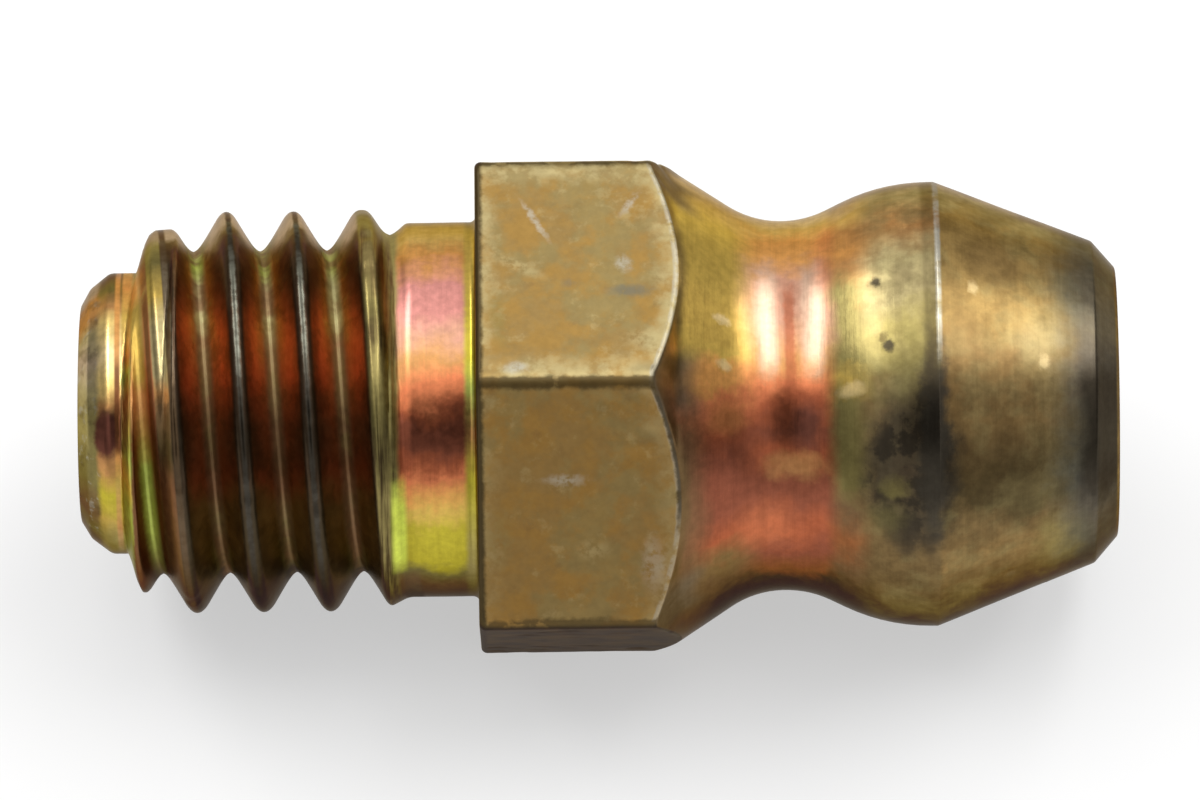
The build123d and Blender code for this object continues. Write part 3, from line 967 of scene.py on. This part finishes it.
# Darker beside the chamfer's arc on the upper front flat.
dark_arc_line = meet(between(shifted(from_arc, fleck, 0.08), 0.07, 0.02), sector(turn, 31, 66), 0.8)
for share, tint in (
    (greenish, drab), (pale_patch, sand), (brown_patch, russet), (pale_rim, sand),
    (worn_line, pale_grey), (dark_arc_line, soot),
):
    flat_film = painted(share, flat_film, tint)
for middle, reach, lean, share, tint in (
    ((0.9, 0.9, 3.5), (0.34, 0.045, 0.3), -1.08, 0.55, pale_grey),
    ((2.3, 1.2, 3.5), (0.2, 0.06, 0.3), 1.0, 0.5, pale_grey),
    ((2.29, -0.4, 3.5), (0.3, 0.1, 0.3), 0.0, 0.7, steel),
    ((2.2, 0.1, 3.5), (0.1, 0.13, 0.3), 0.3, 0.5, pale_grey),
    ((1.4, -0.25, 3.5), (0.1, 0.08, 0.3), 0.0, 0.4, steel),
    ((0.34, -0.95, 3.5), (0.12, 0.4, 0.3), 0.15, 0.45, moss),
    ((0.6, 0.1, 3.5), (0.4, 0.09, 0.3), -0.5, 0.5, sand),
    ((0.6, -1.8, 3.5), (0.16, 0.09, 0.3), 0.1, 0.6, pale_grey),
    ((2.5, -1.3, 3.5), (0.24, 0.14, 0.3), 0.0, 0.5, sand),
    ((1.3, -2.83, 2.09), (0.28, 0.08, 0.08), 0.0, 0.55, pale_grey),
    ((1.7, -3.4, 1.1), (0.2, 0.12, 0.14), 0.0, 0.45, sand),
    ((0.3, -3.3, 1.3), (0.16, 0.3, 0.5), 0.0, 0.45, drab),
    ((2.6, -3.5, 0.9), (0.16, 0.3, 0.4), 0.0, 0.38, pale_grey),
):
    scuff = meet(mark(ragged_spot, middle, reach, 0.7, lean), between(fleck, 0.3, 0.55))
    flat_film = painted(meet(scuff, share), flat_film, tint)
# Painted shade: a dark line along each corner, in patches.
under_corner = tuned("ADD", from_corner, meet(upper, 0.08))
corner_line_shade = between(shifted(shifted(under_corner, fleck, 0.12), blotch, 0.14), 0.19, 0.09)
corner_gap = between(grain(spot, 1.6), 0.36, 0.44)
corner_line_shade = meet(corner_line_shade, tuned("MAXIMUM", corner_gap, 0.35), 0.8)
flat_film = painted(corner_line_shade, flat_film, umber)
flat_film = tinted(flat_film, painted(sector(plain_turn, 30, 90, edge=1), white, warm_shade))
flat_film = painted(between(shifted(along, fleck, 0.08), 0.14, 0.06), flat_film, umber)
# Painted shade: the lower front flat made nearly black, in patches.
below_shade_patches = spread(blotch, 0.98, 0.8, low=0.36, high=0.62)
painted_shade_below = meet(sector(plain_turn, 90, 150, edge=1), below_shade_patches)
flat_film = painted(painted_shade_below, flat_film, pitch_brown)
seat_film = painted(meet(between(rings, 0.3, 0.7), 0.6), drab, brown)
seat_film = painted(between(shifted(out, blotch, 0.3), 3.15, 2.9), seat_film, umber)
flat_film = painted(between(along, 0.012, 0.004), flat_film, seat_film)
colour = painted(on_flat, colour, flat_film)

# Pits and pale flecks in the turned faces.
for middle, reach, tint, share in (
    ((5.94, -0.08, 3.2), (0.07, 0.08, 0.2), pitch_brown, 0.9),
    ((6.1, -1.13, 3.05), (0.085, 0.09, 0.2), pitch_brown, 0.9),
    ((6.02, -1.0, 3.08), (0.07, 0.06, 0.2), umber, 0.7),
    ((3.66, -0.6, 3.04), (0.13, 0.07, 0.2), cream, 0.7),
    ((3.68, -1.27, 2.84), (0.11, 0.07, 0.2), cream, 0.6),
    ((8.42, -1.06, 2.5), (0.09, 0.1, 0.2), cream, 0.3),
    ((7.38, -0.15, 3.1), (0.08, 0.1, 0.2), cream, 0.35),
    ((5.55, -1.62, 2.6), (0.2, 0.1, 0.2), cream, 0.45),
):
    colour = painted(meet(mark(ragged_spot, middle, reach, 0.5), share), colour, tint)
shade = painted(between(fleck, 0.3, 0.7), worn_shade, clean_shade)
shade = painted(meet(on_flat, 0.4), shade, white)
colour = tinted(colour, shade)
streak = painted(between(lathe, 0.3, 0.7), streak_dark, streak_light)
streak = painted(on_flat, streak, white)
colour = tinted(colour, streak)
gloss = shifted(spread(on_flat, 0.3, 0.5, low=0, high=1), fleck, 0.08)
relief = tuned("ADD", meet(lathe, between(from_arc, 0.0, -0.03)), fleck)
metal(shader, colour, gloss, relief, strength=0.25, depth=0.008 * mm)
film_coat(shader, coat_roughness=0.25)
hexagon_and_head.data.materials.append(head_finish)
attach(hexagon_and_head, "nipple")
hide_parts("nipple_body")

# ---- Check ball
# A ground and polished steel ball, which the spring presses into the seat behind the mouth.
ball_low, ball_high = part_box("check_ball")
ball_radius = (ball_high.z - ball_low.z) / 2
ball_x = (ball_low.x + ball_high.x) / 2
ball_rows = 49
ball_columns = 97
arc = np.radians(np.linspace(180, 0, ball_rows))[:, None]
phase = np.linspace(0, 1, ball_columns)[None, :]
ball_skin_x = ball_x + ball_radius * np.cos(arc) + 0 * phase
ball_skin_r = ball_radius * np.sin(arc) + 0 * phase
polished_ball = skin("polished_ball", ball_skin_x, ball_skin_r, phase, {})

bright_steel = (0.56, 0.55, 0.53, 1)
greased_steel = (0.33, 0.29, 0.22, 1)
ball_finish, tree, shader = finish_material("polished_steel")
spot = part_places(tree)[0]
film = grain(spot, 1.4)
scratch = grain(spot, 6.0, detail=5.0, roughness=0.75)
colour = painted(between(film, 0.4, 0.68), bright_steel, greased_steel)
gloss = spread(shifted(film, scratch, 0.3), 0.1, 0.28)
metal(shader, colour, gloss, scratch, strength=0.08, depth=0.004 * mm)
polished_ball.data.materials.append(ball_finish)
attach(polished_ball, "ball")
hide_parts("check_ball")

# ---- Spring
# Drawn spring wire, coiled cold, with a closed coil at each end. It stands on the rolled rim. The real
# spring shortens as the ball goes in; this one is built at one length.
spring_low, spring_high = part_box("ball_spring")
wire_radius = 0.175 * mm
coil_radius = 0.955 * mm
closed_pitch = 0.36 * mm
closed_turns = 1
open_turns = 8
all_turns = 2 * closed_turns + open_turns
steps_a_turn = 36
wire_sides = 16
cut_rounding = np.array([0, 0.6, 0.92])
coil_start_x = spring_low.x + wire_radius
coil_end_x = spring_high.x - wire_radius


def coiled_wire(turns, ends):
    """Points on round wire: along the wire by the turns, and round it by equal angles. Its middle climbs
    a right-hand helix about the axis, by the closed pitch in the end coils and evenly between them. The
    ends are the share of the wire's radius at each turn, which closes the wire where it is cut."""
    corners = [0, closed_turns, all_turns - closed_turns, all_turns]
    heights = [coil_start_x, coil_start_x + closed_pitch, coil_end_x - closed_pitch, coil_end_x]
    middle_x = np.interp(turns, corners, heights)
    out = np.stack([0 * turns, np.sin(2 * pi * turns), -np.cos(2 * pi * turns)], axis=-1)
    climb = (heights[2] - heights[1]) / open_turns
    climb = np.where((turns > corners[1]) & (turns < corners[2]), climb, closed_pitch)
    forward = np.stack([climb, *(2 * pi * coil_radius * np.array([-out[:, 2], out[:, 1]]))], axis=-1)
    forward /= np.linalg.norm(forward, axis=1, keepdims=True)
    aside = np.cross(forward, out)
    round_wire = np.linspace(0, 2 * pi, wire_sides + 1)[None, :, None]
    reach = wire_radius * ends[:, None, None]
    middle = coil_radius * out + np.stack([middle_x, 0 * turns, 0 * turns], axis=-1)
    around = np.cos(round_wire) * out[:, None] + np.sin(round_wire) * aside[:, None]
    return middle[:, None] + reach * around


turns = np.linspace(0, all_turns, all_turns * steps_a_turn + 1)
ends = np.concatenate([cut_rounding, np.ones(len(turns)), cut_rounding[::-1]])
turns = np.concatenate([0 * cut_rounding, turns, all_turns + 0 * cut_rounding])
wire_spots = coiled_wire(turns, ends)
wire_phase = np.arctan2(wire_spots[..., 1], -wire_spots[..., 2]) / (2 * pi)
wire_reach = np.hypot(wire_spots[..., 1], wire_spots[..., 2])
coiled_spring = skin("coiled_spring", wire_spots[..., 0], wire_reach, wire_phase, {})

wire_grey = (0.34, 0.33, 0.31, 1)
wire_dark = (0.16, 0.145, 0.12, 1)
wire_finish, tree, shader = finish_material("drawn_wire")
spot = part_places(tree)[0]
film = grain(spot, 2.2)
drawn = grain(spot, 14.0, detail=3.0, roughness=0.7, stretch=(1, 0.08, 0.08))
colour = painted(between(film, 0.38, 0.66), wire_grey, wire_dark)
colour = painted(meet(between(drawn, 0.4, 0.65), 0.35), colour, bright_steel)
metal(shader, colour, spread(drawn, 0.26, 0.44), drawn, strength=0.2, depth=0.006 * mm)
coiled_spring.data.materials.append(wire_finish)
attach(coiled_spring, "nipple")
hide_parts("ball_spring")
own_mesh(coiled_spring)
